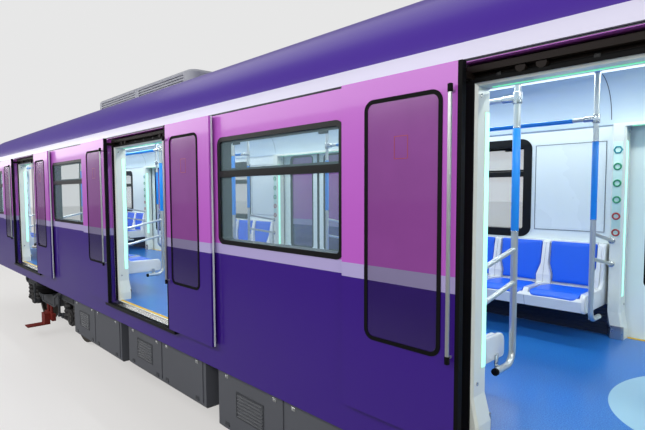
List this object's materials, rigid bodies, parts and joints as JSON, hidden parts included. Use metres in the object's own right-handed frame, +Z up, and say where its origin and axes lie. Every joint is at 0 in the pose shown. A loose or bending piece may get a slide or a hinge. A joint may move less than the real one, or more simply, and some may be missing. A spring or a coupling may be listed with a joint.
{
  "type": "metro car",
  "caption": "Intermediate metro car with open plug doors, glazed saloon with bench seats, through gangways and two powered bogies on flanged wheels.",
  "frame": {"origin": "centre of the car's plan at the lowest points of the wheel flanges", "axes": "+X along the car, +Y across it towards the side whose doors are shut, +Z up"},
  "size_m": [19.14, 2.92, 3.725],
  "materials": {
    "livery_roof": "gloss",
    "livery_side": "gloss",
    "livery_end": "gloss",
    "roof_equipment": "satin",
    "black_trim": "satin",
    "window_glass": "polished",
    "door_glass": "polished",
    "door_rubber": "matte",
    "stainless": "brushed",
    "gear_steel": "satin",
    "liner_white": "satin",
    "threshold_steel": "brushed",
    "floor_cover": "satin",
    "liner_pale": "satin",
    "lamp_white": "satin",
    "seat_shell": "gloss",
    "seat_pad": "satin",
    "gangway_frame": "satin",
    "bellows": "matte",
    "frame_grey": "satin",
    "case_grey": "satin",
    "machine_grey": "satin",
    "bogie_grey": "satin",
    "bogie_cast": "cast",
    "black_rubber": "matte",
    "collector_red": "satin",
    "wheel_steel": "machined",
    "coupler_cast": "cast"
  },
  "bodies": {
    "car_body": {"roof_shell": "livery_roof", "side_wall_near": "livery_side", "side_wall_far": "livery_side", "end_walls": "livery_end", "roof_units": "roof_equipment", "window_frames": "black_trim", "window_glass": "window_glass", "door_leaves": "livery_side", "door_rubbers": "door_rubber", "door_glass": "door_glass", "door_bars": "stainless", "door_gear": "gear_steel", "door_portals": "liner_white", "thresholds": "threshold_steel", "door_sills": "black_trim", "floor": "floor_cover", "ceiling_liner": "liner_pale", "ceiling_lights": "lamp_white", "bench_shells": "seat_shell", "bench_ends": "seat_shell", "seat_pads": "seat_pad", "stanchions": "stainless", "handrails": "stainless", "gangway_frames": "gangway_frame", "gangway_bellows": "bellows", "sole_bars": "frame_grey", "cross_members": "frame_grey", "bolsters": "frame_grey", "equipment_boxes": "case_grey", "compressor": "machine_grey", "air_reservoirs": "machine_grey", "coupler_brackets": "frame_grey"},
    "bogie_a": {"bogie_a_frame": "bogie_grey", "bogie_a_air_springs": "black_rubber", "bogie_a_axleboxes": "bogie_cast", "bogie_a_drives": "machine_grey", "bogie_a_brakes": "bogie_cast", "bogie_a_collectors": "collector_red"},
    "wheelset_a1": {"wheelset_a1": "wheel_steel"},
    "wheelset_a2": {"wheelset_a2": "wheel_steel"},
    "coupler_a": {"coupler_a": "coupler_cast"},
    "bogie_b": {"bogie_b_frame": "bogie_grey", "bogie_b_air_springs": "black_rubber", "bogie_b_axleboxes": "bogie_cast", "bogie_b_drives": "machine_grey", "bogie_b_brakes": "bogie_cast", "bogie_b_collectors": "collector_red"},
    "wheelset_b1": {"wheelset_b1": "wheel_steel"},
    "wheelset_b2": {"wheelset_b2": "wheel_steel"},
    "coupler_b": {"coupler_b": "coupler_cast"}
  },
  "joints": [
    {"name": "bogie_a_swivel", "type": "hinge", "parent": "car_body", "child": "bogie_a", "pos_m": [-6.3, 0, 0.69], "axis": [0, 0, 1], "range_deg": [-6, 6]},
    {"name": "wheelset_a1_turn", "type": "hinge", "parent": "bogie_a", "child": "wheelset_a1", "pos_m": [-7.35, 0, 0.458], "axis": [0, 1, 0], "continuous": true},
    {"name": "wheelset_a2_turn", "type": "hinge", "parent": "bogie_a", "child": "wheelset_a2", "pos_m": [-5.25, 0, 0.458], "axis": [0, 1, 0], "continuous": true},
    {"name": "coupler_a_swing", "type": "hinge", "parent": "car_body", "child": "coupler_a", "pos_m": [-8.65, 0, 0.856], "axis": [0, 0, 1], "range_deg": [-15, 15]},
    {"name": "bogie_b_swivel", "type": "hinge", "parent": "car_body", "child": "bogie_b", "pos_m": [6.3, 0, 0.69], "axis": [0, 0, 1], "range_deg": [-6, 6]},
    {"name": "wheelset_b1_turn", "type": "hinge", "parent": "bogie_b", "child": "wheelset_b1", "pos_m": [5.25, 0, 0.458], "axis": [0, 1, 0], "continuous": true},
    {"name": "wheelset_b2_turn", "type": "hinge", "parent": "bogie_b", "child": "wheelset_b2", "pos_m": [7.35, 0, 0.458], "axis": [0, 1, 0], "continuous": true},
    {"name": "coupler_b_swing", "type": "hinge", "parent": "car_body", "child": "coupler_b", "pos_m": [8.65, 0, 0.856], "axis": [0, 0, 1], "range_deg": [-15, 15]}
  ]
}
